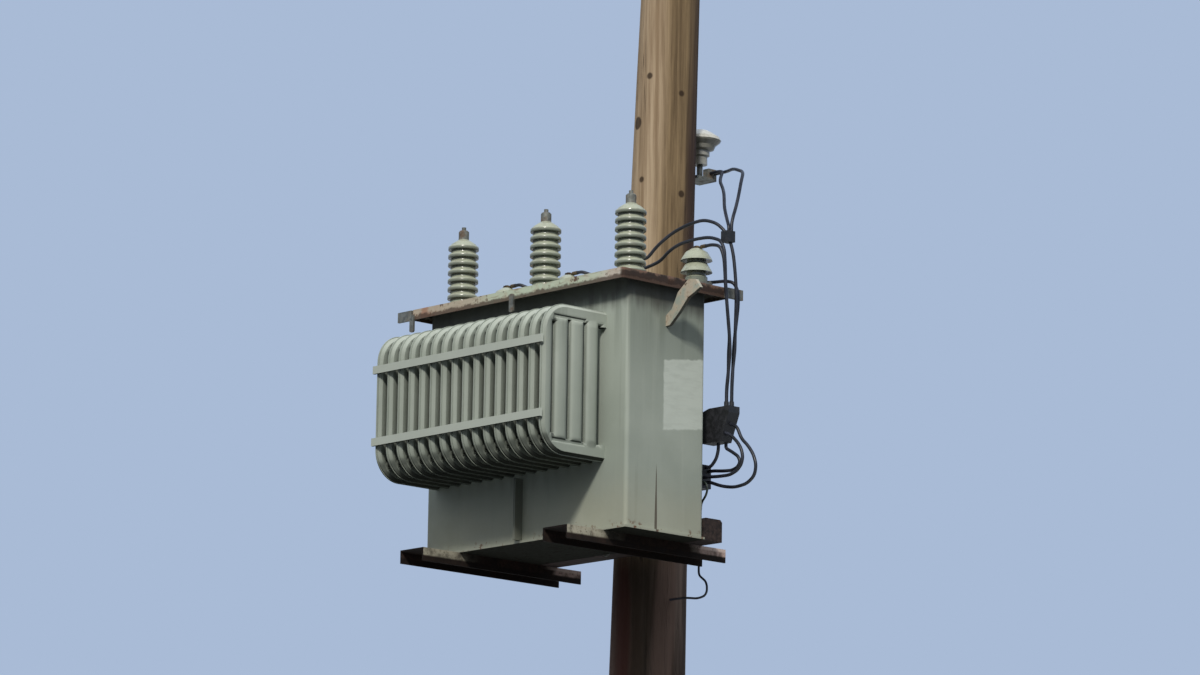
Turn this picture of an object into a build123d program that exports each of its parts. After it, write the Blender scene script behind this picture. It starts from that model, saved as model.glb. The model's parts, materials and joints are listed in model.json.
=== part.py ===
from build123d import *
import math
import os

# Pole mounted distribution transformer: a fluted oil tank on two short bars and a
# crossarm, bolted to a tapering wooden pole. Millimetres, +Z up, X along the tank,
# the radiator faces -Y, and the origin is the centre of the pole's foot.

# Pole
pole_height = 8200
pole_foot_radius = 172
pole_top_radius = 88
pole_taper_power = 1.3
pole_bow_start = 3000
pole_bow_at_top = 155
pole_bow_power = 1.5
pole_top_chamfer = 14
pole_gain_depth = 6

# Platform
platform_top = 4600
platform_bar_spacing = 757
platform_shift = -17
platform_bar_width = 125
platform_bar_height = 48
platform_bar_wall = 6
platform_bar_front = 179
platform_bar_back = 118
crossarm_depth = 88
crossarm_height = 80
crossarm_chamfer = 9

# Tank
tank_gap = 4
tank_length = 1054
tank_depth = 373
tank_height = 901
tank_corner = 14
tank_base_thickness = 8
tank_base_lip = 8
tank_flange_width = 28
tank_flange_thickness = 12

# Lid
lid_plate = 6
lid_rim_height = 37
lid_rim_wall = 6
lid_front_overhang = 63
lid_back_overhang = 79
lid_end_overhang = 36

# Radiator
panel_count = 16
panel_pitch = 57.9
panel_row_shift = -34
panel_reach = 297
panel_bottom = 241
panel_top_gap = 124
panel_corner = 110
panel_seam = 4
panel_seam_width = 4
panel_thickness = 30
panel_edge_slope = 9
first_groove_depth = 52
groove_count = 3
groove_pitch = 73.7
groove_floor = 9
groove_levels = (1, 0.92, 0.7, 0.35, 0)
flute_round = 17
channel_height = 42
crease_round = 8
crease_depth = 5
wall_slot = 28
tie_bar_width = 28
tie_bar_thickness = 10
tie_bar_low_inset = 137
tie_bar_high_inset = 137

# High voltage bushings
hv_spacing = 446
hv_row_shift = -12
hv_front_inset = 91
hv_shed_radius = 56
hv_core_radius = 33
hv_shed_count = 8
hv_shed_pitch = 30.5
hv_base_height = 14
hv_neck_radius = 27
hv_neck_height = 12
hv_cap_radius = 19
hv_cap_height = 34
hv_stud_radius = 8
hv_stud_height = 12
hv_ring_radius = 74
hv_ring_height = 9

# Low voltage bushings
lv_count = 4
lv_end_inset = 59
lv_back_inset = 26
lv_shed_radius = 57
lv_core_radius = 34
lv_shed_count = 2
lv_shed_pitch = 43
lv_base_height = 49
lv_crown_radius = 20
lv_collar_wall = 6
lv_collar_neck = 12
lv_shed_lip = 9
lv_shed_slope = 30
lv_shed_taper = 4
lv_ring_radius = 58
lv_ring_height = 8
lv_stud_radius = 8
lv_stud_height = 11
lv_nut_size = 24
lv_nut_height = 6
lug_ring_radius = 16
lug_ring_thickness = 3
lug_barrel_radius = 7
lug_barrel_start = 24
lug_barrel_end = 48
lug_barrel_lift = 4.5

# Fittings on the tank
hook_thickness = 14
hook_outline = [(0, -172), (0, -134), (30, -114), (60, -58), (113, -18), (149, -23), (172, -55),
                (149, -67), (112, -83), (68, -129), (20, -170)]
stiffener_thickness = 10
stiffener_depth = 36
stiffener_gap = 11
stiffener_side = -13
lug_length = 75
lug_thickness = 10
rear_lug_length = 60
clip_width = 21
clip_thickness = 8
clip_height = 66
clip_below_rim = 46
clip_middle_x = -12

# Low voltage leads, cut to length by the routes below
lead_diameter = 12
earth_diameter = 8
lead_clearance = 0.3
straight_enough = 0.5
anchor_z = 4957
anchor_height = 124
anchor_depth = 54
anchor_middle_y = -130
anchor_length = 176
anchor_beyond_tank = 59
anchor_shoulder = 75
anchor_heel = 45
anchor_nose = 22
anchor_low_cut = 40
anchor_side_cut = 100
connector_radius = 8.5
connector_height = 18
connector_chamfer = 2
lead_run_in = 46
joint_size = 36
joint_height = 40
joint_place = (62, 46, 178)
bracket_height = 50
bracket_thickness = 8
cleat_from_end = 86
cleat_width = 46
cleat_low = 204
cleat_height = 84
cleat_reach = 118
loop_end_heights = (61, 35, 18, 74)
earth_end_height = 18

# Line insulator behind the pole
insulator_z = 6093
insulator_radius = 78
insulator_height = 129
insulator_gap = 4
insulator_side = -19
pin_height = 60
pin_radius = 11
bracket_bar = 40
bracket_bar_thickness = 10
bracket_plate_height = 120
lead_holder_width = 30
lead_holder_height = 34
holder_lead_spacing = 20

# Places that follow from the sizes above
pole_steps = 9
pole_stations = [pole_height * number / pole_steps for number in range(pole_steps + 1)]


def pole_profile(z):
    """Radius and sideways offset of the trunk where it is shaped."""
    radius = pole_foot_radius - (pole_foot_radius - pole_top_radius) * (z / pole_height) ** pole_taper_power
    share = max(0.0, (z - pole_bow_start) / (pole_height - pole_bow_start))
    return radius, pole_bow_at_top * share ** pole_bow_power


def pole_section(z):
    """Radius and offset at any height, straight from one station to the next."""
    number = min(int(z / pole_height * pole_steps), pole_steps - 1)
    share = z / pole_height * pole_steps - number
    low = pole_profile(pole_stations[number])
    high = pole_profile(pole_stations[number + 1])
    return [a + (b - a) * share for a, b in zip(low, high)]


def pole_radius(z):
    return pole_section(z)[0]


def pole_offset(z):
    return pole_section(z)[1]


crossarm_length = tank_length
crossarm_middle_z = platform_top + crossarm_height / 2
crossarm_back_y = -(pole_radius(crossarm_middle_z) - pole_gain_depth)
crossarm_front_y = crossarm_back_y - crossarm_depth
tank_back_y = crossarm_front_y - tank_gap
tank_front_y = tank_back_y - tank_depth
tank_middle_y = (tank_back_y + tank_front_y) / 2
tank_top_z = platform_top + tank_height
lid_top_z = tank_top_z + lid_plate
lid_front_y = tank_front_y - lid_front_overhang
lid_back_y = tank_back_y + lid_back_overhang
lid_length = tank_length + 2 * lid_end_overhang
panel_first_x = panel_row_shift - panel_pitch * (panel_count - 1) / 2
panel_low_z = platform_top + panel_bottom
panel_height = tank_height - panel_bottom - panel_top_gap
panel_front_y = tank_front_y - panel_reach
tank_right_x = tank_length / 2
lv_crown_z = lid_top_z + lv_base_height + lv_shed_count * lv_shed_pitch
anchor_right_x = tank_right_x + anchor_beyond_tank
anchor_left_x = anchor_right_x - anchor_length
anchor_top_z = anchor_z + anchor_height
cleat_right_x = tank_right_x - cleat_from_end
cleat_low_z = platform_top + cleat_low
anchor_middle_z = anchor_z + anchor_height / 2
connector_top_z = anchor_top_z + connector_height


def block(x_min, x_max, y_min, y_max, z_min, z_max):
    size = (x_max - x_min, y_max - y_min, z_max - z_min)
    middle = ((x_min + x_max) / 2, (y_min + y_max) / 2, (z_min + z_max) / 2)
    return Pos(*middle) * Box(*size)


def turned(points):
    """A solid of revolution about Z from (radius, height) points."""
    outline = Polyline(*[(r, 0, z) for r, z in points], close=True)
    return revolve(make_face(outline), Axis.Z, 360)


def pole():
    """Tapering trunk that bows a little above its middle, with a flat gain for the crossarm."""
    rings = [Plane((pole_offset(z), 0, z)) * Circle(pole_radius(z)) for z in pole_stations]
    trunk = loft(rings, ruled=True)
    trunk = chamfer(trunk.edges().sort_by(Axis.Z)[-1], pole_top_chamfer)
    gain = block(-crossarm_length, crossarm_length, -2 * pole_foot_radius, crossarm_back_y,
                 platform_top, platform_top + crossarm_height)
    return trunk - gain


def platform_bar(x):
    """An inverted channel: web on top, flanges hanging down."""
    half = platform_bar_width / 2
    y_min = tank_front_y - platform_bar_front
    y_max = crossarm_back_y + platform_bar_back
    outer = block(x - half, x + half, y_min, y_max, platform_top - platform_bar_height, platform_top)
    inner = block(x - half + platform_bar_wall, x + half - platform_bar_wall, y_min - 1, y_max + 1,
                  platform_top - platform_bar_height - 1, platform_top - platform_bar_wall)
    return outer - inner


def platform_bars():
    sides = (-0.5, 0.5)
    return [platform_bar(platform_shift + side * platform_bar_spacing) for side in sides]


def crossarm():
    half = crossarm_length / 2
    arm = block(-half, half, crossarm_front_y, crossarm_back_y, platform_top, platform_top + crossarm_height)
    upper = arm.edges().filter_by(Axis.X).group_by(Axis.Z)[-1]
    return chamfer(upper, crossarm_chamfer)


def tank():
    half = tank_length / 2
    shell = block(-half, half, tank_front_y, tank_back_y, platform_top + tank_base_thickness, tank_top_z)
    shell = fillet(shell.edges().filter_by(Axis.Z), tank_corner)
    return shell


def tank_base():
    half = tank_length / 2 + tank_base_lip
    return block(-half, half, tank_front_y - tank_base_lip, tank_back_y, platform_top,
                 platform_top + tank_base_thickness)


def tank_flange():
    half = tank_length / 2
    width = tank_flange_width
    low = tank_top_z - tank_flange_thickness
    ring = block(-half - width, half + width, tank_front_y - width, tank_back_y + width, low, tank_top_z)
    return ring - tank()


def lid():
    half = lid_length / 2
    low = lid_top_z - lid_rim_height
    wall = lid_rim_wall
    cover = block(-half, half, lid_front_y, lid_back_y, low, lid_top_z)
    cover = fillet(cover.edges().filter_by(Axis.Z), tank_corner)
    room = block(-half + wall, half - wall, lid_front_y + wall, lid_back_y - wall, low - 1, tank_top_z)
    return cover - room


def panel_outline(inset):
    """Side outline of a radiator panel, wall at y = 0, outer edge towards -y."""
    reach = panel_reach - inset
    low = inset
    high = panel_height - inset
    corner = panel_corner - inset
    wall_low = Line((0, low), (-(reach - corner), low))
    low_arc = CenterArc((-(reach - corner), low + corner), corner, 180, 90)
    front = Line((-reach, low + corner), (-reach, high - corner))
    high_arc = CenterArc((-(reach - corner), high - corner), corner, 90, 90)
    wall_high = Line((-(reach - corner), high), (0, high))
    wall = Line((0, high), (0, low))
    return make_face([wall_low, low_arc, front, high_arc, wall_high, wall])


def outline_rise(depth):
    """How far the rounded corner drops below the panel's flat top at this depth."""
    beyond = depth - (panel_reach - panel_corner)
    if beyond <= 0:
        return 0.0
    return panel_corner - math.sqrt(panel_corner ** 2 - beyond ** 2)


def rounded_groove(width, length, sink, rounding):
    """A groove whose sides fall away as quarter ellipses: width and length are those of its floor."""
    levels = []
    for share in groove_levels:
        opening = 2 * rounding * (1 - math.sqrt(1 - share ** 2))
        levels.append(Pos(0, 0, share * sink) * Rectangle(width + opening, length + opening))
    return loft(levels, ruled=True)


def on_both_sides(cut, depth, height, level):
    """Puts a groove on each side of a panel, at a depth from the wall and a height."""
    near = Plane.YZ.location * Pos(-depth, height, level) * cut
    return [near, mirror(near, Plane.YZ)]


def groove(depth):
    """An upright groove between two flutes, down to the panel's seam."""
    drop = outline_rise(depth) + channel_height + flute_round
    sink = (panel_thickness - panel_seam) / 2
    cut = rounded_groove(groove_floor, panel_height - 2 * drop, sink, flute_round)
    return on_both_sides(cut, depth, panel_height / 2, panel_seam / 2)


def crease(height):
    """A shallow level groove that parts the flutes from the channel above or below them."""
    width = (groove_count - 1) * groove_pitch
    cut = rounded_groove(width, groove_floor, crease_depth, crease_round)
    middle = panel_reach - first_groove_depth - width / 2
    return on_both_sides(cut, middle, height, panel_thickness / 2 - crease_depth)


def panel():
    """One pressed steel radiator panel: four flutes between two channels, free of the wall between."""
    upright = Plane.YZ.location
    seam = Pos(-panel_seam / 2, 0, 0) * upright * extrude(panel_outline(0), panel_seam)
    body = extrude(panel_outline(panel_seam_width), panel_thickness)
    rims = [edge for edge in body.edges() if abs(edge.center().X) > 1]
    flat = [edge for edge in rims if edge.bounding_box().size.Z < 0.01]
    body = chamfer(flat, panel_edge_slope)
    body = Pos(-panel_thickness / 2, 0, 0) * upright * body
    cuts = groove(wall_slot)
    for number in range(groove_count):
        cuts += groove(panel_reach - first_groove_depth - number * groove_pitch)
    crease_inset = channel_height + crease_round
    cuts += crease(crease_inset) + crease(panel_height - crease_inset)
    slot_end = channel_height + flute_round
    cuts.append(block(-panel_thickness, panel_thickness, -wall_slot, 1, slot_end, panel_height - slot_end))
    result = seam + body
    for cut in cuts:
        result = result - cut
    return result


def radiator_panels():
    shape = panel()
    places = [panel_first_x + number * panel_pitch for number in range(panel_count)]
    return [Pos(x, tank_front_y, panel_low_z) * shape for x in places]


def tie_bar(middle_z):
    start = panel_first_x - panel_thickness / 2
    end = panel_first_x + (panel_count - 1) * panel_pitch + panel_thickness / 2
    low = middle_z - tie_bar_width / 2
    return block(start, end, panel_front_y - tie_bar_thickness, panel_front_y, low, low + tie_bar_width)


def hv_places():
    y = tank_front_y + hv_front_inset
    return [(hv_row_shift + side * hv_spacing, y) for side in (-1, 0, 1)]


def hv_porcelain():
    """Core with down-sloping sheds, from the clamp ring to the neck."""
    points = [(0, 0), (hv_core_radius + 8, 0), (hv_core_radius + 8, hv_base_height)]
    for number in range(hv_shed_count):
        low = hv_base_height + number * hv_shed_pitch
        points.append((hv_core_radius, low + 4))
        points.append((hv_shed_radius, low + 3))
        points.append((hv_shed_radius - 3, low + 11))
        points.append((hv_core_radius, low + 22))
    top = hv_base_height + hv_shed_count * hv_shed_pitch
    points.append((hv_neck_radius, top))
    points.append((hv_cap_radius, top + hv_neck_height))
    points.append((0, top + hv_neck_height))
    return turned(points)


def hv_porcelains():
    shape = hv_porcelain()
    return [Pos(x, y, lid_top_z) * shape for x, y in hv_places()]


def hv_rings():
    ring = Cylinder(hv_ring_radius, hv_ring_height) - Cylinder(hv_core_radius + 8, 2 * hv_ring_height)
    return [Pos(x, y, lid_top_z + hv_ring_height / 2) * ring for x, y in hv_places()]


def hv_caps():
    base = lid_top_z + hv_base_height + hv_shed_count * hv_shed_pitch + hv_neck_height
    top = hv_cap_height
    points = [(0, 0), (hv_cap_radius, 0), (hv_cap_radius, top - 5), (hv_cap_radius - 5, top),
              (hv_stud_radius, top), (hv_stud_radius, top + hv_stud_height), (0, top + hv_stud_height)]
    shape = turned(points)
    return [Pos(x, y, base) * shape for x, y in hv_places()]


def lv_places():
    y = tank_back_y - lv_back_inset
    first = lv_end_inset - lid_length / 2
    spacing = -2 * first / (lv_count - 1)
    return [(first + number * spacing, y) for number in range(lv_count)]


def lv_porcelain():
    """Two domed sheds over a short collar."""
    core = lv_core_radius
    collar = core + lv_collar_wall
    neck = lv_base_height - lv_collar_neck
    points = [(0, 0), (collar, 0), (collar, neck - lv_collar_wall), (core, neck)]
    for number in range(lv_shed_count):
        low = lv_base_height + number * lv_shed_pitch
        points.append((core, low + lv_collar_wall / 2))
        points.append((lv_shed_radius, low))
        points.append((lv_shed_radius - lv_shed_taper, low + lv_shed_lip))
        points.append((collar, low + lv_shed_slope))
        points.append((core, low + lv_shed_slope + lv_collar_wall))
    top = lv_crown_z - lid_top_z
    points[-1] = (lv_crown_radius, top)
    points.append((0, top))
    return turned(points)


def lv_porcelains():
    shape = lv_porcelain()
    return [Pos(x, y, lid_top_z) * shape for x, y in lv_places()]


def lv_rings():
    hole = Cylinder(lv_core_radius + lv_collar_wall, 2 * lv_ring_height)
    ring = Cylinder(lv_ring_radius, lv_ring_height) - hole
    return [Pos(x, y, lid_top_z + lv_ring_height / 2) * ring for x, y in lv_places()]


def lv_studs():
    """Threaded stud with its nut, which holds a cable lug down on the porcelain's crown."""
    stud = Pos(0, 0, lv_stud_height / 2) * Cylinder(lv_stud_radius, lv_stud_height)
    nut = extrude(RegularPolygon(lv_nut_size / 2, 6, major_radius=False), lv_nut_height)
    shape = stud + Pos(0, 0, lug_ring_thickness) * nut
    return [Pos(x, y, lv_crown_z) * shape for x, y in lv_places()]


def lead_lugs():
    """Ring lug round each stud, with a barrel for the lead on its right."""
    ring = Pos(0, 0, lug_ring_thickness / 2) * Cylinder(lug_ring_radius, lug_ring_thickness)
    length = lug_barrel_end - lug_barrel_start
    middle = (lug_barrel_end + lug_barrel_start) / 2
    barrel = Pos(middle, 0, lug_barrel_lift) * Rot(0, 90, 0) * Cylinder(lug_barrel_radius, length)
    neck = block(lug_ring_radius / 2, lug_barrel_start + 1, -lug_barrel_radius, lug_barrel_radius,
                 0, lug_ring_thickness)
    hole = Cylinder(lv_stud_radius + lead_clearance, 4 * lug_ring_thickness)
    shape = ring + neck + barrel - hole
    return [Pos(x, y, lv_crown_z) * shape for x, y in lv_places()]


def hook(side):
    """A lifting hook cut from plate: it leans out from the wall and past the lid."""
    plate = extrude(make_face(Polyline(*hook_outline, close=True)), hook_thickness / 2, both=True)
    plate = Rot(90, 0, 0) * plate
    plate = Pos(tank_right_x, tank_middle_y, lid_top_z) * plate
    if side < 0:
        plate = mirror(plate, Plane.YZ)
    return plate


def wall_stiffener():
    x = stiffener_side
    half = stiffener_thickness / 2
    low = platform_top + tank_base_thickness
    front = tank_front_y - stiffener_depth
    return block(x - half, x + half, front, tank_front_y, low, panel_low_z - stiffener_gap)


def lid_lugs():
    """Flat lugs that carry the front rim on past the left end, and the right rim on past the rear."""
    x = lid_length / 2
    low = lid_top_z - lid_rim_height
    front = block(-x - lug_length, -x, lid_front_y, lid_front_y + lug_thickness, low, lid_top_z)
    rear_y = lid_back_y - tank_corner
    rear = block(x, x + lug_thickness, rear_y - lug_thickness, lid_back_y + rear_lug_length, low, lid_top_z)
    return [front, rear]


def lid_clip(x):
    low = lid_top_z - lid_rim_height - clip_below_rim
    strip = block(x - clip_width / 2, x + clip_width / 2, lid_front_y - clip_thickness, lid_front_y,
                  low, low + clip_height)
    ends = strip.edges().filter_by(Axis.Y)
    return fillet(ends, clip_width / 3)


def lid_clips():
    return [lid_clip(clip_width / 2 - lid_length / 2), lid_clip(clip_middle_x)]


def cable(points, diameter):
    """A round lead along straight runs, each joined to the next by as wide an arc as it allows."""
    spots = [Vector(*point) for point in points]
    bends = [here for before, here, after in zip(spots, spots[1:], spots[2:])
             if (here - before).get_angle(after - here) > straight_enough]
    spots = [spots[0], *bends, spots[-1]]
    radii = []
    for before, here, after in zip(spots, spots[1:], spots[2:]):
        turn = (here - before).get_angle(after - here)
        shorter = min((here - before).length, (after - here).length)
        radii.append(0.45 * shorter / math.tan(math.radians(turn) / 2))
    path = FilletPolyline(*spots, radius=radii)
    start = Plane(origin=path @ 0, z_dir=path % 0)
    return sweep(start * Circle(diameter / 2), path=path)


def lead_starts():
    """Where each lead leaves the barrel of its lug."""
    return [(x + lug_barrel_end, y, lv_crown_z + lug_barrel_lift) for x, y in lv_places()]


# Feet of the leads from left to right of the row, measured from the clamp's right end and middle
lead_feet = [(-29, 16), (-42, 3), (-10, -3), (-23, -16)]

# Bends of each lead in three stretches: past the bushings, measured from its own lug; round the
# lid's corner, measured from the tank's rear right corner and the lid; above its connector
first_lead = [(24, 0, 0), (64, 32, -22), (150, 62, -56), (300, 74, -74), (456, 74, -82), (600, 74, -90),
              (740, 72, -100)]
first_corner = [(-92, 58, 36), (-34, 66, 30), (18, 76, 29), (52, 87, 21), (66, 95, -14), (63, 99, -62),
                (51, 103, -115), (39, 107, -166), (32, 108, -218)]
second_lead = [(24, 0, 0), (68, 34, -20), (180, 62, -26), (310, 68, -11), (370, 64, -1)]
second_corner = [(-215, 24, 166), (-155, 18, 181), (-68, 14, 185), (3, 14, 181), (58, 14, 161),
                 (76, 15, 127), (76, 20, 74), (71, 28, 3), (68, 38, -64), (65, 50, -130), (60, 61, -185),
                 (50, 66, -234)]
third_lead = [(34, 0, 0), (74, 8, 39), (136, 18, 77)]
third_corner = [(-102, 4, 241), (-32, 16, 250), (22, 28, 231), (54, 40, 198), (70, 52, 157), (78, 58, 112),
                (84, 61, 54), (86, 66, -15), (81, 71, -67), (74, 76, -119), (67, 81, -171), (62, 86, -224)]
fourth_lead = [(30, 0, 0)]
fourth_corner = [(96, -25, 130), (110, -20, 90), (108, -12, 42), (103, -4, -6), (99, 8, -72), (93, 22, -138),
                 (86, 36, -192), (77, 48, -240)]
above_feet = [(2, 1, 100), (15, -7, 100), (4, -2, 100), (16, -8, 100)]


def shifted(points, start):
    return [tuple(a + b for a, b in zip(point, start)) for point in points]


def lv_lead(number):
    """Straight out of the lug's barrel, along its bends and straight down into a connector."""
    by_lug = [first_lead, second_lead, third_lead, fourth_lead][number]
    by_corner = [first_corner, second_corner, third_corner, fourth_corner][number]
    start = lead_starts()[number]
    corner = (tank_right_x, tank_back_y, lid_top_z)
    end = (*foot(number), connector_top_z)
    straight = (*foot(number), connector_top_z + lead_run_in)
    above = shifted([above_feet[number]], end)
    route = [start, *shifted(by_lug, start), *shifted(by_corner, corner), *above, straight, end]
    return cable(route, lead_diameter)


def foot(number):
    x, y = lead_feet[number]
    return anchor_right_x + x, anchor_middle_y + y


def lv_leads():
    return [lv_lead(number) for number in range(lv_count)]


def tap_connectors():
    """Round caps on top of the clamp, one where each lead goes in."""
    body = Cylinder(connector_radius, connector_height)
    body = chamfer(body.edges().group_by(Axis.Z)[-1], connector_chamfer)
    middle_z = anchor_top_z + connector_height / 2
    return [Pos(*foot(number), middle_z) * body for number in range(lv_count)]


def anchor_clamp():
    """Wedge clamp housing for a line cable, held on the bracket by its left end."""
    left = anchor_left_x
    right = anchor_right_x
    low = anchor_z
    high = anchor_top_z
    outline = Polyline((left, low + anchor_nose), (left + anchor_heel, low), (right - anchor_low_cut, low),
                       (right, low + anchor_side_cut), (right, high), (left + anchor_shoulder, high),
                       (left, high - anchor_nose), close=True)
    body = extrude(make_face(outline), anchor_depth / 2, both=True)
    body = Rot(90, 0, 0) * body
    return Pos(0, anchor_middle_y, 0) * body


def anchor_bracket():
    """A flat bar from the pole's front to the clamp's left end."""
    z = anchor_middle_z
    front = -pole_radius(z - bracket_height / 2) - lead_clearance
    return block(pole_offset(z) - bracket_height, anchor_left_x, front - bracket_thickness, front,
                 z - bracket_height / 2, z + bracket_height / 2)


# Bends of the tails below the clamp, measured from its lower right corner, and the sideways
# place of each from the clamp's middle
first_tail = [(-56, 0), (-56, -18), (-24, -35), (6, -54), (17, -74), (5, -92), (-24, -101), (-72, -98)]
second_tail = [(38, -14), (55, -38), (63, -66), (56, -92), (35, -112), (-2, -124), (-61, -123)]
outer_tail = [(42, 1), (72, -24), (101, -59), (116, -100), (108, -137), (71, -161), (10, -168), (-55, -157)]
link_tail = [(-80, 0), (-80, -24), (-90, -54)]
tail_sides = (16, -16, -2, 2)
tail_run_in = 28
second_tail_start = 0.3
outer_tail_start = 0.62
tail_run_out = 34


def tail(number, points):
    """Bends in an upright plane, then level into the cleat's right face."""
    y = anchor_middle_y + tail_sides[number]
    z = cleat_low_z + loop_end_heights[number]
    route = [(anchor_right_x + x, y, anchor_z + height) for x, height in points]
    return cable([*route, (cleat_right_x + tail_run_in, y, z), (cleat_right_x, y, z)], lead_diameter)


def slope_exit(share):
    """Start of a tail on the clamp's sloping right face, and a point straight out from there."""
    slope = math.hypot(anchor_low_cut, anchor_side_cut)
    x = -anchor_low_cut * (1 - share)
    z = anchor_side_cut * share
    out_x = x + tail_run_out * anchor_side_cut / slope
    out_z = z - tail_run_out * anchor_low_cut / slope
    return [(x, z), (out_x, out_z)]


def inner_loops():
    """Two tails that curl back to the cleat, one from the clamp's underside and one from its slope."""
    return [tail(0, first_tail), tail(1, [*slope_exit(second_tail_start), *second_tail])]


def outer_loop():
    """A wider tail that leaves the clamp's slope above the inner loops."""
    return tail(2, [*slope_exit(outer_tail_start), *outer_tail])


def link_lead():
    return tail(3, link_tail)


def loop_cleat():
    """A block on the tank's rear wall where the loops come home, out of sight from the front."""
    rear = tank_back_y + cleat_reach
    left = cleat_right_x - cleat_width
    return block(left, cleat_right_x, tank_back_y, rear, cleat_low_z, cleat_low_z + cleat_height)


# Bends of the earth wire, measured from its start on the cleat
earth_bends = [(29, 0), (57, -18), (51, -52), (25, -78), (22, -108)]


def earth_wire():
    """From the cleat down to the crossarm's top."""
    y = crossarm_back_y - crossarm_depth / 2
    z = cleat_low_z + earth_end_height
    bends = [(cleat_right_x + x, y, z + height) for x, height in earth_bends]
    return cable([(cleat_right_x, y, z), *bends, (bends[-1][0], y, platform_top + crossarm_height)],
                 earth_diameter)


def earth_loop():
    """A slack wire that hangs from the right bar's flange and comes back to the pole."""
    x = platform_shift + platform_bar_spacing / 2 - platform_bar_width / 2 + platform_bar_wall / 2
    y = crossarm_back_y + platform_bar_back - 14
    z = 4446
    side = pole_offset(z) + math.sqrt((pole_radius(z) + 1) ** 2 - y ** 2)
    route = [(x, y, platform_top - platform_bar_height), (x, y, 4520), (x + 43, y, 4490), (x + 43, y, 4445),
             (x - 2, y, 4436), (x - 70, y, z), (side, y, z)]
    return cable(route, earth_diameter)


def insulator_place():
    x = pole_offset(insulator_z) + insulator_side
    y = pole_radius(insulator_z) + insulator_radius + insulator_gap
    return x, y


def joint_middle():
    x, y, z = joint_place
    return tank_right_x + x, tank_back_y + y, lid_top_z + z


def lead_joint():
    """A joint block on the third lead, where the two leads from above come in."""
    body = Pos(*joint_middle()) * Box(joint_size, joint_size, joint_height)
    nearby = shifted(third_corner[1:7], (tank_right_x, tank_back_y, lid_top_z))
    return body - cable(nearby, lead_diameter + 2 * lead_clearance)


# Bends of the upper leads, measured from the joint block's middle
near_bends = [(-329, 272, 300), (-229, 192, 245), (-139, 112, 195), (-89, 66, 132), (-54, 42, 90),
              (-24, 21, 60), (-8, 11, 42)]
far_bends = [(-289, 302, 345), (-141, 202, 295), (-84, 152, 268), (-52, 112, 228), (-23, 72, 164),
             (-4, 40, 112), (8, 16, 74), (10, 7, 46)]
upper_run_out = 64


def upper_leads():
    """Two leads from the holder behind the pole, down past the lid to the joint block."""
    x, y = insulator_place()
    start_x = pole_offset(insulator_z) + bracket_bar / 2 + lead_holder_width
    z = insulator_z - pin_height + lead_holder_height / 2
    joint = joint_middle()
    top = joint[2] + joint_height / 2
    leads = []
    for side, bends in ((-0.5, near_bends), (0.5, far_bends)):
        start_y = y + side * holder_lead_spacing
        route = [(start_x, start_y, z), (start_x + upper_run_out, start_y, z), *shifted(bends, joint)]
        route.append((route[-1][0], route[-1][1], top))
        leads.append(cable(route, lead_diameter))
    return leads


def pole_insulator():
    """A pin insulator: flat dome, wide skirt and a smaller skirt inside it."""
    r = insulator_radius
    h = insulator_height
    points = [(0, 0), (28, 0), (28, 30), (36, 34), (36, 52), (r - 26, 58), (r - 20, 72), (r - 4, h - 44),
              (r, h - 38), (r - 6, h - 26), (r - 30, h - 10), (30, h), (0, h)]
    x, y = insulator_place()
    return Pos(x, y, insulator_z) * turned(points)


def insulator_bracket():
    """A bar behind the pole that carries the insulator's pin and the holder of two leads."""
    x, y = insulator_place()
    top = insulator_z - pin_height
    low = top - bracket_bar_thickness
    half = bracket_bar / 2
    back = pole_radius(low - bracket_plate_height) + lead_clearance
    middle = pole_offset(insulator_z)
    right = middle + half + lead_holder_width
    bar = block(x - half, right, back, y + half, low, top)
    plate_low = low - bracket_plate_height
    plate = block(middle - half, middle + half, back, back + bracket_bar_thickness, plate_low, top)
    pin = Pos(x, y, top + pin_height / 2) * Cylinder(pin_radius, pin_height)
    holder = block(right - lead_holder_width, right, y - half, y + half, top, top + lead_holder_height)
    return bar + plate + pin + holder


parts = {
    "pole": pole(),
    "platform_bars": platform_bars(),
    "crossarm": crossarm(),
    "tank": tank(),
    "tank_base": tank_base(),
    "tank_flange": tank_flange(),
    "lid": lid(),
    "radiator_panels": radiator_panels(),
    "radiator_upper_tie": tie_bar(panel_low_z + panel_height - tie_bar_high_inset),
    "radiator_lower_tie": tie_bar(panel_low_z + tie_bar_low_inset),
    "hv_porcelains": hv_porcelains(),
    "hv_clamp_rings": hv_rings(),
    "hv_caps": hv_caps(),
    "lv_porcelains": lv_porcelains(),
    "lv_clamp_rings": lv_rings(),
    "lv_studs": lv_studs(),
    "lead_lugs": lead_lugs(),
    "lifting_hooks": [hook(1), hook(-1)],
    "wall_stiffener": wall_stiffener(),
    "lid_lug": lid_lugs(),
    "lid_clips": lid_clips(),
    "lv_leads": lv_leads(),
    "tap_connectors": tap_connectors(),
    "upper_leads": upper_leads(),
    "lead_joint": lead_joint(),
    "anchor_clamp": anchor_clamp(),
    "anchor_bracket": anchor_bracket(),
    "inner_loops": inner_loops(),
    "outer_loop": outer_loop(),
    "link_lead": link_lead(),
    "loop_cleat": loop_cleat(),
    "earth_wire": earth_wire(),
    "earth_loop": earth_loop(),
    "pole_insulator": pole_insulator(),
    "insulator_bracket": insulator_bracket(),
}

os.makedirs("parts", exist_ok=True)
for name, shape in parts.items():
    if isinstance(shape, list):
        shape = Compound(children=shape)
    export_step(shape, f"parts/{name}.step")
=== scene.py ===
"""Pole mounted distribution transformer: finishes, small fasteners, ribbed porcelains, camera and light."""
import json
import math

import bmesh
import bpy
from mathutils import Matrix, Vector


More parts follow.
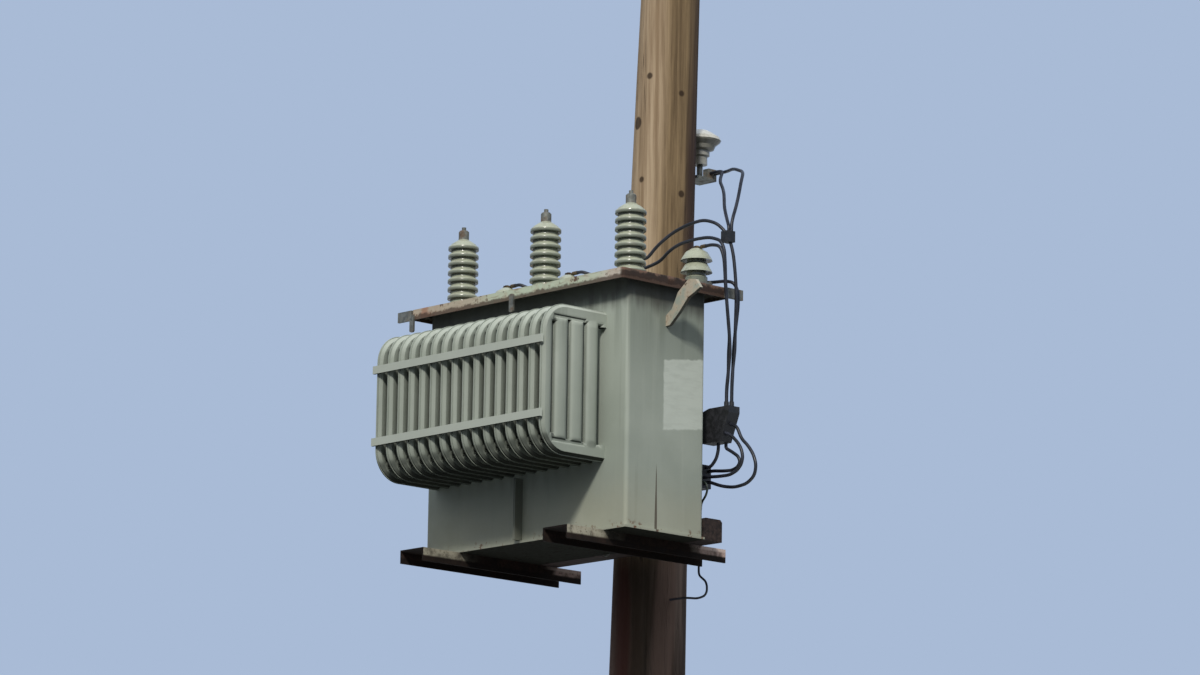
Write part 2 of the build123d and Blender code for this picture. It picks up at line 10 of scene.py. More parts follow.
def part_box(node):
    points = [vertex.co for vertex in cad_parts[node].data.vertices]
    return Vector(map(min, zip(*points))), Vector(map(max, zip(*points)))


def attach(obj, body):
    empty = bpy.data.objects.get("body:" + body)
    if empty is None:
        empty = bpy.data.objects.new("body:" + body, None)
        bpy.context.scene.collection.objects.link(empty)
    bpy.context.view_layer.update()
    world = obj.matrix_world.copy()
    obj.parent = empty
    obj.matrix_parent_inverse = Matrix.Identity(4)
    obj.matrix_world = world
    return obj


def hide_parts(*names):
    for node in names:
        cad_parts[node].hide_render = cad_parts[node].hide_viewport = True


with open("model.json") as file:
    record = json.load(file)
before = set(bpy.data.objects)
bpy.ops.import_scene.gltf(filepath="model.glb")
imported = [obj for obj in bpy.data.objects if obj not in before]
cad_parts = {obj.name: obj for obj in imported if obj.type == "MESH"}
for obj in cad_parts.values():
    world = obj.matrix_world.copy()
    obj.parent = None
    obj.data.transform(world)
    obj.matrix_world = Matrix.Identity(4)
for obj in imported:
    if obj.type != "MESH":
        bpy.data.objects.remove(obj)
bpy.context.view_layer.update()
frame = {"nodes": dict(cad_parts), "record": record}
scene = bpy.context.scene


def low(node):
    """The corner of a CAD node's box with the smallest x, y and z."""
    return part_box(node)[0]


def high(node):
    """The corner of a CAD node's box with the largest x, y and z."""
    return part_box(node)[1]


def middle(node, axis):
    """The middle of a CAD node's box along one axis."""
    return (low(node)[axis] + high(node)[axis]) / 2


# Real sizes in metres
MM = 0.001

# The tank and its lid
TANK_FOOT = low("tank_base")[2]
TANK_FRONT = low("tank")[1]
TANK_END = high("tank")[0]
LID_FOOT = low("lid")[2]
LID_END = high("lid")[0]

# The repaint on the right wall, read from the picture: its edges across and up the wall, and its lean
PATCH_Y = (TANK_FRONT + 174 * MM, TANK_FRONT + 368 * MM)
PATCH_Z = (TANK_FOOT + 421 * MM, TANK_FOOT + 670 * MM)
PATCH_LEAN = -0.134
PATCH_BLUR = 4 * MM
# The dark run below it: its place across the wall
RUN_Y = TANK_FRONT + 144 * MM

# The radiator, and the grooves of its end panels: first one behind the front, spacing, foot and head
PANEL_FRONT = low("radiator_panels")[1]
PANEL_TOP = high("radiator_panels")[2]
GROOVE_COUNT = 3
FIRST_GROOVE = 52 * MM
GROOVE_PITCH = 73.7 * MM
GROOVE_LOW = low("radiator_panels")[2] + 40 * MM
GROOVE_HIGH = PANEL_TOP - 40 * MM

# The two channels: their foot and ends, the middle between them, and half a channel's width
BAR_FOOT = low("platform_bars")[2]
BAR_FRONT = low("platform_bars")[1]
BAR_BACK = high("platform_bars")[1]
BAR_MIDDLE = middle("platform_bars", 0)
BAR_HALF_WIDTH = 62.5 * MM
BAR_SPREAD = (high("platform_bars")[0] - low("platform_bars")[0]) / 2 - BAR_HALF_WIDTH

# The trunk: its radii, the way its axis leaves the vertical, and its place at the crossarm
POLE_TOP = high("pole")[2]
POLE_FOOT_RADIUS = 172 * MM
POLE_TOP_RADIUS = 100 * MM
BOW_START = 3.0
BOW_AT_TOP = 155 * MM
BOW_POWER = 1.5
POLE_MIDDLE_AT_ARM = 25 * MM
POLE_RADIUS_AT_ARM = 133 * MM
# Empty bolt holes and one knot on the trunk: place and radius, read from the picture
HOLES = (((0.104, -0.109, 6.368), 12 * MM), ((0.187, -0.027, 6.302), 11 * MM),
         ((0.0755, -0.116, 5.984), 11 * MM), ((0.181, -0.016, 5.930), 13 * MM),
         ((0.0435, -0.109, 6.200), 24 * MM))
# The picture's left to right, as shares of x and y
PICTURE_RIGHT = (0.72, 0.69)

# The kinds of node that the finishes use, each with its settings
COORDINATES = ("ShaderNodeTexCoord", {})
GEOMETRY = ("ShaderNodeNewGeometry", {})
RAYS = ("ShaderNodeLightPath", {})
AXES = ("ShaderNodeSeparateXYZ", {})
MAPPING = ("ShaderNodeMapping", {})
NOISE = ("ShaderNodeTexNoise", {})
CELLS = ("ShaderNodeTexVoronoi", {})
DISTANCE = ("ShaderNodeVectorMath", {"operation": "DISTANCE"})
OPENNESS = ("ShaderNodeAmbientOcclusion", {"samples": 6, "only_local": True})
FADE = ("ShaderNodeMapRange", {"interpolation_type": "SMOOTHSTEP"})
MIX = ("ShaderNodeMix", {"data_type": "RGBA"})
BUMP = ("ShaderNodeBump", {})
SHADER = ("ShaderNodeBsdfPrincipled", {})
SURFACE = ("ShaderNodeOutputMaterial", {})
PLUS = ("ShaderNodeMath", {"operation": "ADD"})
PLUS_UP_TO_ONE = ("ShaderNodeMath", {"operation": "ADD", "use_clamp": True})
MINUS = ("ShaderNodeMath", {"operation": "SUBTRACT"})
TIMES = ("ShaderNodeMath", {"operation": "MULTIPLY"})
DIVIDED = ("ShaderNodeMath", {"operation": "DIVIDE"})
POWER = ("ShaderNodeMath", {"operation": "POWER"})
SMALLER = ("ShaderNodeMath", {"operation": "MINIMUM"})
LARGER = ("ShaderNodeMath", {"operation": "MAXIMUM"})
IS_BELOW = ("ShaderNodeMath", {"operation": "LESS_THAN"})
UNSIGNED = ("ShaderNodeMath", {"operation": "ABSOLUTE"})
ROUNDED = ("ShaderNodeMath", {"operation": "ROUND"})
SINE = ("ShaderNodeMath", {"operation": "SINE"})


# Small helpers

def linear(code):
    """An sRGB hex value as linear colour."""
    parts = [int(code[number:number + 2], 16) / 255 for number in (1, 3, 5)]
    return (*(part / 12.92 if part <= 0.04045 else ((part + 0.055) / 1.055) ** 2.4 for part in parts), 1.0)


def add(tree, kind, *values, output=None, **named):
    """Add a node of a kind, link or fill its live inputs in order and others by name, and give back
    its first live output or the one that is named."""
    node_type, settings = kind
    node = tree.nodes.new(node_type)
    for setting, value in settings.items():
        setattr(node, setting, value)
    live_inputs = [socket for socket in node.inputs if socket.enabled]
    for socket, value in [*zip(live_inputs, values), *((node.inputs[name], named[name]) for name in named)]:
        if isinstance(value, bpy.types.NodeSocket):
            tree.links.new(value, socket)
        elif isinstance(value, str) and value.startswith("#"):
            socket.default_value = linear(value)
        else:
            socket.default_value = value
    if output:
        return node.outputs[output]
    return next((socket for socket in node.outputs if socket.enabled), None)


def new_material(name):
    """A material with an empty tree, and the Object coordinates that its patterns lie in."""
    material = bpy.data.materials.new(name)
    material.use_nodes = True
    material.node_tree.nodes.clear()
    return material, material.node_tree, add(material.node_tree, COORDINATES, output="Object")


def with_shader(material, inputs):
    """Give a material its shader with these inputs."""
    tree = material.node_tree
    add(tree, SURFACE, add(tree, SHADER, **inputs))
    return material


def per(*millimetres):
    """The scale at which a pattern's features have this size: one for all ways, or x, y and z."""
    scales = [1 / (size * MM) for size in millimetres]
    return scales if len(scales) > 1 else scales[0]


def facing(tree):
    """The surface's own direction, as three axes."""
    return add(tree, AXES, add(tree, GEOMETRY, output="Normal")).node.outputs


def overlap(tree, *masks):
    """Where all masks hold; a plain number weakens them."""
    whole = masks[0]
    for mask in masks[1:]:
        whole = add(tree, TIMES, whole, mask)
    return whole


def crevice_shade_mask(tree, reach):
    """Where shade is painted: 1 in narrow gaps of the same piece, 0 on its open faces."""
    return add(tree, FADE, add(tree, OPENNESS, Distance=reach, output="AO"), 0.62, 0.12)


# Finishes

def film_colour(tree, place, z, runs, end_wall):
    """Open enamel: clouded, with pale and dark runs, painted shade at the head of the end wall, stains below
    the lid's rim and a yellowed foot.
    """
    clouds = add(tree, NOISE, place, per(454.5), 5, 0.6)
    base = add(tree, MIX, add(tree, FADE, clouds, 0.35, 0.65), "#98a197", "#a5aea4")
    # Painted shade: the end wall darkens towards the lid's rim, which overhangs it
    end_head_painted_shade = overlap(tree, end_wall, add(tree, FADE, z, LID_FOOT - 520 * MM, LID_FOOT - 70 * MM))
    base = add(tree, MIX, end_head_painted_shade, base, "#8a9389")
    base = add(tree, MIX, add(tree, FADE, runs, 0.52, 0.78, 0.0, 0.26), base, "#b4bbb0")
    base = add(tree, MIX, add(tree, FADE, runs, 0.44, 0.25, 0.0, 0.30), base, "#7f877c")
    # Dark water stains that hang down from the lid's rim, 150 to 300 mm long
    hanging = add(tree, NOISE, add(tree, MAPPING, place, Scale=per(55.56, 55.56, 1250)), 1.0, 5, 0.6)
    stain = overlap(tree, add(tree, FADE, hanging, 0.50, 0.68),
                    add(tree, FADE, z, LID_FOOT - 350 * MM, LID_FOOT - 10 * MM), 0.45)
    base = add(tree, MIX, stain, base, "#626a60")
    # Dirt settles above the base
    wander = add(tree, TIMES, add(tree, NOISE, place, per(200), 4, 0.55), 120 * MM)
    height = add(tree, MINUS, z, wander)
    foot = add(tree, FADE, height, TANK_FOOT + 180 * MM, TANK_FOOT - 20 * MM, 0.0, 0.30)
    return add(tree, MIX, foot, base, "#a8a184")


def repaint(tree, place, y, z):
    """How well the pale repaint covers: a leaning rectangle that was brushed on by hand."""
    ragged = add(tree, MINUS, add(tree, NOISE, place, per(29.41), 3, 0.55), 0.5)
    ragged = add(tree, TIMES, ragged, 12 * MM)
    across = add(tree, PLUS, y, ragged)
    upwards = add(tree, PLUS, add(tree, PLUS, z, add(tree, TIMES, y, PATCH_LEAN)), ragged)
    edges = []
    for value, (start, end) in ((across, PATCH_Y), (upwards, PATCH_Z)):
        edges.append(add(tree, FADE, value, start - PATCH_BLUR, start + PATCH_BLUR))
        edges.append(add(tree, FADE, value, end + PATCH_BLUR, end - PATCH_BLUR))
    brushed = add(tree, NOISE, add(tree, MAPPING, place, Scale=per(83.33, 83.33, 16.67)), 1.0, 4, 0.6)
    return overlap(tree, *edges, add(tree, FADE, brushed, 0.25, 0.6, 0.72, 1.0))


def dark_run(tree, y, z):
    """One dark run below the repaint, 4 mm wide at its head and 12 mm at its foot."""
    half_width = add(tree, FADE, z, TANK_FOOT + 17 * MM, TANK_FOOT + 236 * MM, 6 * MM, 1.8 * MM)
    off = add(tree, UNSIGNED, add(tree, MINUS, y, RUN_Y))
    below_head = add(tree, FADE, z, TANK_FOOT + 250 * MM, TANK_FOOT + 200 * MM)
    return overlap(tree, add(tree, IS_BELOW, off, half_width), below_head)


def film_rust(tree, place, z):
    """Rust that breaks the film along the lowest 40 mm, and freckles elsewhere."""
    specks = add(tree, NOISE, place, per(21.74), 6, 0.65)
    low_edge = add(tree, FADE, z, TANK_FOOT + 40 * MM, TANK_FOOT + 6 * MM)
    freckles = add(tree, TIMES, add(tree, FADE, specks, 0.70, 0.74), 0.7)
    return add(tree, LARGER, overlap(tree, add(tree, FADE, specks, 0.56, 0.64), low_edge), freckles)


def end_panel_flutes(tree, y, z, normal):
    """On the radiator's end panels: a painted shade line in each groove, and how far a flute stands out."""
    beyond = add(tree, MINUS, y, PANEL_FRONT + FIRST_GROOVE)
    nearest = add(tree, ROUNDED, add(tree, DIVIDED, beyond, GROOVE_PITCH))
    nearest = add(tree, SMALLER, add(tree, LARGER, nearest, 0.0), GROOVE_COUNT - 1)
    off = add(tree, UNSIGNED, add(tree, MINUS, beyond, add(tree, TIMES, nearest, GROOVE_PITCH)))
    fluted = overlap(tree, add(tree, FADE, y, TANK_FRONT - 20 * MM, TANK_FRONT - 30 * MM),
                     add(tree, FADE, add(tree, UNSIGNED, normal[0]), 0.5, 0.7),
                     add(tree, FADE, z, GROOVE_LOW, GROOVE_LOW + 30 * MM),
                     add(tree, FADE, z, GROOVE_HIGH, GROOVE_HIGH - 30 * MM))
    bulge = add(tree, SINE, add(tree, TIMES, off, math.pi / GROOVE_PITCH))
    return overlap(tree, fluted, add(tree, FADE, off, 12 * MM, 3 * MM)), overlap(tree, fluted, bulge)


def grey_green_enamel(name, painted_shade_share=0.0, painted_light_share=0.0):
    """Air dried enamel, sprayed over steel and chalked by weather: an even, nearly matt grey-green with pale
    runs and rust where the film has broken, painted shade near the lid, between the radiator's panels, in
    its end panels' grooves and on all that faces down, and a painted highlight where it faces up."""
    material, tree, place = new_material(name)
    x, y, z = add(tree, AXES, place).node.outputs
    normal = facing(tree)
    end_wall = overlap(tree, add(tree, FADE, x, TANK_END - 22 * MM, TANK_END - 12 * MM),
                       add(tree, FADE, normal[0], 0.5, 0.8))
    runs = add(tree, NOISE, add(tree, MAPPING, place, Scale=per(38.46, 38.46, 714.3)), 1.0, 6, 0.6)
    base = film_colour(tree, place, z, runs, end_wall)
    base = add(tree, MIX, overlap(tree, repaint(tree, place, y, z), end_wall), base, "#c4cdc4")
    base = add(tree, MIX, overlap(tree, dark_run(tree, y, z), end_wall, 0.85), base, "#4b3f33")
    rust = film_rust(tree, place, z)
    base = add(tree, MIX, rust, base, "#6a4c35")
    # Painted highlight: lighter where it faces up
    base = add(tree, MIX, add(tree, FADE, normal[2], 0.15, 0.85, 0.0, 0.4), base, "#c3cac2")
    # Painted shade: a ragged dark band under the lid's rim
    ragged = add(tree, PLUS, z, add(tree, TIMES, add(tree, MINUS, runs, 0.5), 100 * MM))
    rim_painted_shade = add(tree, FADE, ragged, LID_FOOT - 105 * MM, LID_FOOT - 30 * MM, 0.0, 0.8)
    base = add(tree, MIX, rim_painted_shade, base, "#332f2a")
    groove, bulge = end_panel_flutes(tree, y, z, normal)
    # Painted shade in the grooves of the end panels
    base = add(tree, MIX, add(tree, TIMES, groove, 0.85), base, "#2f332b")
    # The fronts of the radiator's panels are a little dirty
    front = overlap(tree, add(tree, FADE, y, PANEL_FRONT + 40 * MM, PANEL_FRONT + 20 * MM),
                    add(tree, FADE, normal[1], -0.5, -0.8), 0.26)
    base = add(tree, MIX, front, base, "#5f655c")
    # Painted light: a lighter copy of the enamel, used for the radiator's ties
    base = add(tree, MIX, painted_light_share, base, "#c0c8bf")
    # Painted shade in the gaps between the radiator's panels, weaker over the upper tie
    washed = add(tree, FADE, z, PANEL_TOP - 150 * MM, PANEL_TOP - 100 * MM, 0.92, 0.35)
    base = add(tree, MIX, overlap(tree, crevice_shade_mask(tree, 60 * MM), washed), base, "#363a33")
    # Painted shade: what faces down is made nearly black
    below = add(tree, FADE, normal[2], -0.12, -0.85)
    base = add(tree, MIX, add(tree, TIMES, below, 0.94), base, "#1b1b17")
    # Painted shade all over, used for the wall stiffener
    base = add(tree, MIX, painted_shade_share, base, "#30332d")
    rough = add(tree, FADE, add(tree, NOISE, place, per(16.67), 3, 0.55), 0.3, 0.7, 0.56, 0.70)
    rough = add(tree, PLUS, rough, add(tree, TIMES, below, 0.25))
    # Orange peel at 6 mm, coarser than the real 2 mm so that it shows, under plate waves of 170 mm
    peel = add(tree, TIMES, add(tree, NOISE, place, per(6.25), 2, 0.55), 0.12)
    relief = add(tree, PLUS, add(tree, NOISE, place, per(166.7), 2, 0.55), peel)
    relief = add(tree, PLUS, relief, add(tree, TIMES, bulge, 6.0))
    relief = add(tree, MINUS, relief, add(tree, TIMES, rust, 0.2))
    return with_shader(material, {
        "Base Color": base,
        "Roughness": rough,
        "Specular IOR Level": add(tree, FADE, below, 0.0, 1.0, 0.38, 0.04),
        "Normal": add(tree, BUMP, Strength=0.35, Distance=4 * MM, Height=relief),
    })


def worn_lid_enamel():
    """The same enamel brushed thin over a rolled plate rim: pink undercoat and rust show on the
    left, pale green in the middle, cream at the corner, and the right end has gone to brown rust."""
    material, tree, place = new_material("worn_lid_enamel_over_rust")
    x, _, z = add(tree, AXES, place).node.outputs
    drift = add(tree, TIMES, add(tree, MINUS, add(tree, NOISE, place, per(200), 5, 0.6), 0.5), 500 * MM)
    along = add(tree, PLUS, x, drift)
    base = add(tree, MIX, add(tree, FADE, along, -0.36, -0.05), "#b3a897", "#b7c4b0")
    base = add(tree, MIX, add(tree, FADE, along, 0.30, 0.48), base, "#c5c1b6")
    grime = add(tree, NOISE, add(tree, MAPPING, place, Scale=per(66.67, 66.67, 8.333)), 1.0, 6, 0.65)
    base = add(tree, MIX, add(tree, FADE, grime, 0.52, 0.74, 0.0, 0.7), base, "#7a6453")
    undercoat = add(tree, NOISE, place, per(111.1), 6, 0.65)
    pink = overlap(tree, add(tree, FADE, undercoat, 0.48, 0.60), add(tree, FADE, x, 0.05, -0.25, 0.25, 0.9))
    base = add(tree, MIX, pink, base, "#a5806c")
    rust = add(tree, NOISE, place, per(41.67), 8, 0.7)
    right_end = add(tree, FADE, x, LID_END - 18 * MM, LID_END - 4 * MM)
    rusted = add(tree, PLUS_UP_TO_ONE, add(tree, FADE, rust, 0.56, 0.64), add(tree, TIMES, right_end, 0.92))
    brown = add(tree, MIX, add(tree, FADE, rust, 0.38, 0.68), "#352922", "#5f483c")
    base = add(tree, MIX, rusted, base, brown)
    # The rim's lower edge, where water hangs, is brown all along
    edge = add(tree, PLUS, z, add(tree, TIMES, add(tree, MINUS, rust, 0.5), 50 * MM))
    lower_edge = add(tree, FADE, edge, LID_FOOT + 19 * MM, LID_FOOT + 10 * MM, 0.0, 0.85)
    base = add(tree, MIX, lower_edge, base, "#4b3a31")
    # Its right end is darker in a band between two lighter lines along its edges
    hollow = overlap(tree, right_end, add(tree, FADE, edge, LID_FOOT + 7 * MM, LID_FOOT + 12 * MM),
                     add(tree, FADE, edge, LID_FOOT + 31 * MM, LID_FOOT + 26 * MM), 0.75)
    base = add(tree, MIX, hollow, base, "#2b201c")
    upper_edge = add(tree, FADE, edge, LID_FOOT + 31 * MM, LID_FOOT + 35 * MM, 0.0, 0.6)
    base = add(tree, MIX, overlap(tree, right_end, upper_edge), base, "#8b6f62")
    # Painted shade on what faces down
    base = add(tree, MIX, add(tree, FADE, facing(tree)[2], -0.3, -0.9), base, "#352c26")
    return with_shader(material, {
        "Base Color": base,
        "Roughness": add(tree, FADE, rust, 0.3, 0.7, 0.66, 0.88),
        "Specular IOR Level": 0.25,
        "Normal": add(tree, BUMP, Strength=0.5, Distance=3 * MM, Height=rust),
    })


def round_the_trunk(tree, place):
    """How far round the trunk a point lies, from -1 at its left to 1 at its right."""
    x, y, z = add(tree, AXES, place).node.outputs
    share = add(tree, DIVIDED, add(tree, MINUS, z, BOW_START), POLE_TOP - BOW_START)
    bow = add(tree, TIMES, add(tree, POWER, add(tree, LARGER, share, 0.0), BOW_POWER), BOW_AT_TOP)
    across = add(tree, PLUS, add(tree, TIMES, add(tree, MINUS, x, bow), PICTURE_RIGHT[0]),
                 add(tree, TIMES, y, PICTURE_RIGHT[1]))
    return add(tree, DIVIDED, across, add(tree, FADE, z, 0.0, POLE_TOP, POLE_FOOT_RADIUS, POLE_TOP_RADIUS))


def creosote(tree, place, side, grain):
    """The soaked lower trunk: washed out in streaks, red on its left, black in its middle and brown
    on its right."""
    soaked = add(tree, NOISE, add(tree, MAPPING, place, Scale=per(51.02, 51.02, 892.9)), 1.0, 5, 0.6)
    tar = add(tree, MIX, add(tree, FADE, soaked, 0.36, 0.66), "#41362f", "#83736a")
    tar = add(tree, MIX, add(tree, FADE, grain, 0.60, 0.75, 0.0, 0.5), tar, "#85705f")
    bled = add(tree, NOISE, add(tree, MAPPING, place, Scale=per(111.1, 111.1, 2000)), 1.0, 3, 0.5)
    tar = add(tree, MIX, add(tree, FADE, bled, 0.50, 0.62, 0.0, 0.5), tar, "#5e3f3a")
    for rise, fall, share, hue in (((-0.95, -0.80), (-0.45, -0.60), 0.75, "#4a1d1d"),
                                   ((-0.50, -0.35), (0.20, 0.00), 0.70, "#242016"),
                                   ((0.15, 0.30), (0.80, 0.65), 0.65, "#856f66")):
        stripe = overlap(tree, add(tree, FADE, side, *rise), add(tree, FADE, side, *fall), share)
        tar = add(tree, MIX, stripe, tar, hue)
    return tar


def weathered_pine():
    """Debarked softwood pole, pressure treated and weathered, with painted light and shade across it: pale on
    its left, brown in the middle and violet brown on its right, away from the key, and nearly black below the
    transformer with creosote and painted shade, with long checks, grain lines and knots."""
    material, tree, place = new_material("weathered_pine_pole")
    grain = add(tree, NOISE, add(tree, MAPPING, place, Scale=per(20.83, 20.83, 694.4)), 1.0, 8, 0.7,
                Distortion=0.2)
    broad = add(tree, NOISE, add(tree, MAPPING, place, Scale=per(200, 200, 1429)), 1.0, 4, 0.5)
    wander = add(tree, TIMES, add(tree, MINUS, broad, 0.5), 0.9)
    side = add(tree, PLUS, round_the_trunk(tree, place), wander)
    # Painted light and shade across the trunk: pale on its left, darker towards its right
    lit_to_shaded = add(tree, FADE, side, -0.42, 0.12)
    light = add(tree, MIX, lit_to_shaded, "#b29f86", "#8e7a5d")
    dark = add(tree, MIX, lit_to_shaded, "#8a765e", "#5f4f3b")
    base = add(tree, MIX, add(tree, FADE, grain, 0.33, 0.68), dark, light)
    base = add(tree, MIX, add(tree, FADE, broad, 0.52, 0.72, 0.0, 0.45), base, "#85745e")
    # Painted shade: the trunk's right side, away from the key, is made violet brown
    wet = add(tree, FADE, side, 0.60, 0.94, 0.0, 0.85)
    base = add(tree, MIX, wet, base, add(tree, MIX, grain, "#2e2224", "#463636"))
    # Checks: thin cracks along the grain, about 4 mm wide and up to a metre long
    cracks = add(tree, NOISE, add(tree, MAPPING, place, Scale=per(24.04, 24.04, 699.3)), 1.0, 2, 0.4,
                 Distortion=0.5)
    crack = add(tree, FADE, add(tree, UNSIGNED, add(tree, MINUS, cracks, 0.5)), 0.014, 0.002)
    crack = overlap(tree, crack, add(tree, FADE, broad, 0.42, 0.55))
    base = add(tree, MIX, add(tree, TIMES, crack, 0.85), base, "#33261e")
    # Knots, about 30 mm across in whorls
    whorls = add(tree, CELLS, add(tree, MAPPING, place, Scale=per(181.8, 181.8, 526.3)), 1.0)
    knot = add(tree, FADE, whorls, 0.11, 0.05)
    base = add(tree, MIX, add(tree, TIMES, knot, 0.8), base, "#402e21")
    for centre, radius in HOLES:
        away = add(tree, DISTANCE, place, centre)
        hole = add(tree, FADE, away, radius + 4 * MM, radius - 4 * MM, 0.0, 0.85)
        base = add(tree, MIX, hole, base, "#2b1f18")
    # Creosote from the platform down, with painted shade from the tank above
    height = add(tree, AXES, place).node.outputs["Z"]
    height = add(tree, PLUS, height, add(tree, TIMES, wander, 250 * MM))
    lower = add(tree, FADE, height, TANK_FOOT + 140 * MM, TANK_FOOT - 80 * MM, 0.0, 0.93)
    base = add(tree, MIX, lower, base, creosote(tree, place, side, grain))
    relief = add(tree, MINUS, grain, add(tree, TIMES, crack, 1.2))
    relief = add(tree, MINUS, relief, add(tree, TIMES, knot, 0.3))
    return with_shader(material, {
        "Base Color": base,
        "Roughness": 0.88,
        "Specular IOR Level": 0.2,
        "Normal": add(tree, BUMP, Strength=0.6, Distance=6 * MM, Height=relief),
    })


def creosoted_timber():
    """Sawn hardwood crossarm soaked in creosote: nearly black, with grain along its length."""
    material, tree, place = new_material("creosoted_hardwood")
    grain = add(tree, NOISE, add(tree, MAPPING, place, Scale=per(555.6, 19.61, 19.61)), 1.0, 7, 0.7,
                Distortion=0.2)
    base = add(tree, MIX, add(tree, FADE, grain, 0.35, 0.7), "#252121", "#463b37")
    worn = add(tree, NOISE, place, per(111.1), 6, 0.65)
    base = add(tree, MIX, add(tree, FADE, worn, 0.56, 0.75, 0.0, 0.6), base, "#71605a")
    return with_shader(material, {
        "Base Color": base,
        "Roughness": 0.85,
        "Specular IOR Level": 0.2,
        "Normal": add(tree, BUMP, Strength=0.5, Distance=3 * MM, Height=grain),
    })


def outside_painted_shade(tree, place, normal, scale):
    """Where the channels keep their own pale colour, outside the painted shade: the front 200 mm and the last
    120 mm at the back, on faces that look out or up. The insides, the lower flange and the sawn front ends
    stay black with painted shade."""
    x, y, z = add(tree, AXES, place).node.outputs
    wander = add(tree, MINUS, add(tree, NOISE, place, per(250), 4, 0.5), 0.5)
    along = add(tree, PLUS, y, add(tree, TIMES, wander, 250 * MM))
    at_ends = add(tree, LARGER, add(tree, FADE, along, BAR_FRONT + 270 * MM, BAR_FRONT + 130 * MM),
                  add(tree, FADE, along, BAR_BACK - 152 * MM, BAR_BACK - 92 * MM))
    from_middle = add(tree, UNSIGNED, add(tree, MINUS, x, BAR_MIDDLE))
    from_bar = add(tree, UNSIGNED, add(tree, MINUS, from_middle, BAR_SPREAD))
    outside = add(tree, FADE, from_bar, BAR_HALF_WIDTH - 5 * MM, BAR_HALF_WIDTH - 2 * MM)
    outside = add(tree, LARGER, outside, add(tree, FADE, normal[2], 0.3, 0.8))
    return overlap(tree, at_ends, add(tree, FADE, normal[2], -0.4, 0.0), outside,
                   add(tree, FADE, scale, 0.36, 0.56, 0.35, 1.0),
                   add(tree, FADE, z, BAR_FOOT + 16 * MM, BAR_FOOT + 24 * MM),
                   add(tree, FADE, normal[1], -0.9, -0.5))


def rusted_mild_steel():
    """Hot rolled channel with its last paint gone: grey cream with rust where the ends stand out from under
    the tank, black brown painted shade under the tank, and a painted highlight along the rear end's top."""
    material, tree, place = new_material("rusted_mild_steel")
    _, y, z = add(tree, AXES, place).node.outputs
    normal = facing(tree)
    scale = add(tree, NOISE, place, per(55.56), 8, 0.7)
    # Painted shade: black brown, as the channels look under the tank
    base = add(tree, MIX, add(tree, FADE, scale, 0.35, 0.65), "#211b19", "#443832")
    worn = add(tree, MIX, add(tree, FADE, y, BAR_BACK - 192 * MM, BAR_BACK - 112 * MM), "#b8b5a3", "#c7b0a7")
    base = add(tree, MIX, add(tree, TIMES, outside_painted_shade(tree, place, normal, scale), 0.88), base, worn)
    # Painted highlight along the top of the rear end
    lip = overlap(tree, add(tree, FADE, z, BAR_FOOT + 33 * MM, BAR_FOOT + 40 * MM),
                  add(tree, FADE, y, BAR_BACK - 192 * MM, BAR_BACK - 132 * MM), 0.75)
    base = add(tree, MIX, lip, base, "#dccbc3")
    rusty = add(tree, NOISE, place, per(90.91), 7, 0.7)
    base = add(tree, MIX, add(tree, FADE, rusty, 0.52, 0.66, 0.0, 0.6), base, "#5a443c")
    pits = add(tree, NOISE, place, per(11.11), 4, 0.6)
    base = add(tree, MIX, add(tree, FADE, pits, 0.58, 0.68, 0.0, 0.7), base, "#30241c")
    # Painted shade, black again: the sawn front ends, the lower flange, what faces down, and the corners
    # inside
    base = add(tree, MIX, add(tree, FADE, normal[1], -0.6, -0.9, 0.0, 0.85), base, "#151211")
    lower_flange = add(tree, FADE, z, BAR_FOOT + 24 * MM, BAR_FOOT + 14 * MM, 0.0, 0.7)
    base = add(tree, MIX, lower_flange, base, "#1f1b19")
    base = add(tree, MIX, add(tree, FADE, normal[2], -0.3, -0.9, 0.0, 0.85), base, "#191614")
    base = add(tree, MIX, add(tree, TIMES, crevice_shade_mask(tree, 50 * MM), 0.8), base, "#1c1815")
    relief = add(tree, PLUS, scale, add(tree, TIMES, pits, 0.4))
    return with_shader(material, {
        "Base Color": base,
        "Roughness": add(tree, FADE, scale, 0.3, 0.7, 0.78, 0.94),
        "Specular IOR Level": 0.12,
        "Normal": add(tree, BUMP, Strength=0.5, Distance=2 * MM, Height=relief),
    })


def glazed_porcelain(name, light, dark):
    """Wet process porcelain under a clear glaze: glossy, with dust, painted light on top of each shed and
    painted shade below it and in the hollows."""
    material, tree, place = new_material(name)
    # Painted light and shade: lighter where it faces up, darker where it faces down
    base = add(tree, MIX, add(tree, FADE, facing(tree)[2], -0.35, 0.55), dark, light)
    dust = add(tree, NOISE, place, per(33.33), 6, 0.65)
    base = add(tree, MIX, add(tree, FADE, dust, 0.50, 0.72, 0.0, 0.5), base, "#6d6c5f")
    # Painted shade in the hollows between the sheds
    base = add(tree, MIX, add(tree, TIMES, crevice_shade_mask(tree, 30 * MM), 0.9), base, "#262a25")
    relief = add(tree, NOISE, place, per(14.29), 2, 0.55)
    return with_shader(material, {
        "Base Color": base,
        "Roughness": add(tree, FADE, dust, 0.35, 0.7, 0.20, 0.48),
        "IOR": 1.5,
        "Coat Weight": 0.25,
        "Coat Roughness": 0.12,
        "Normal": add(tree, BUMP, Strength=0.08, Distance=2 * MM, Height=relief),
    })


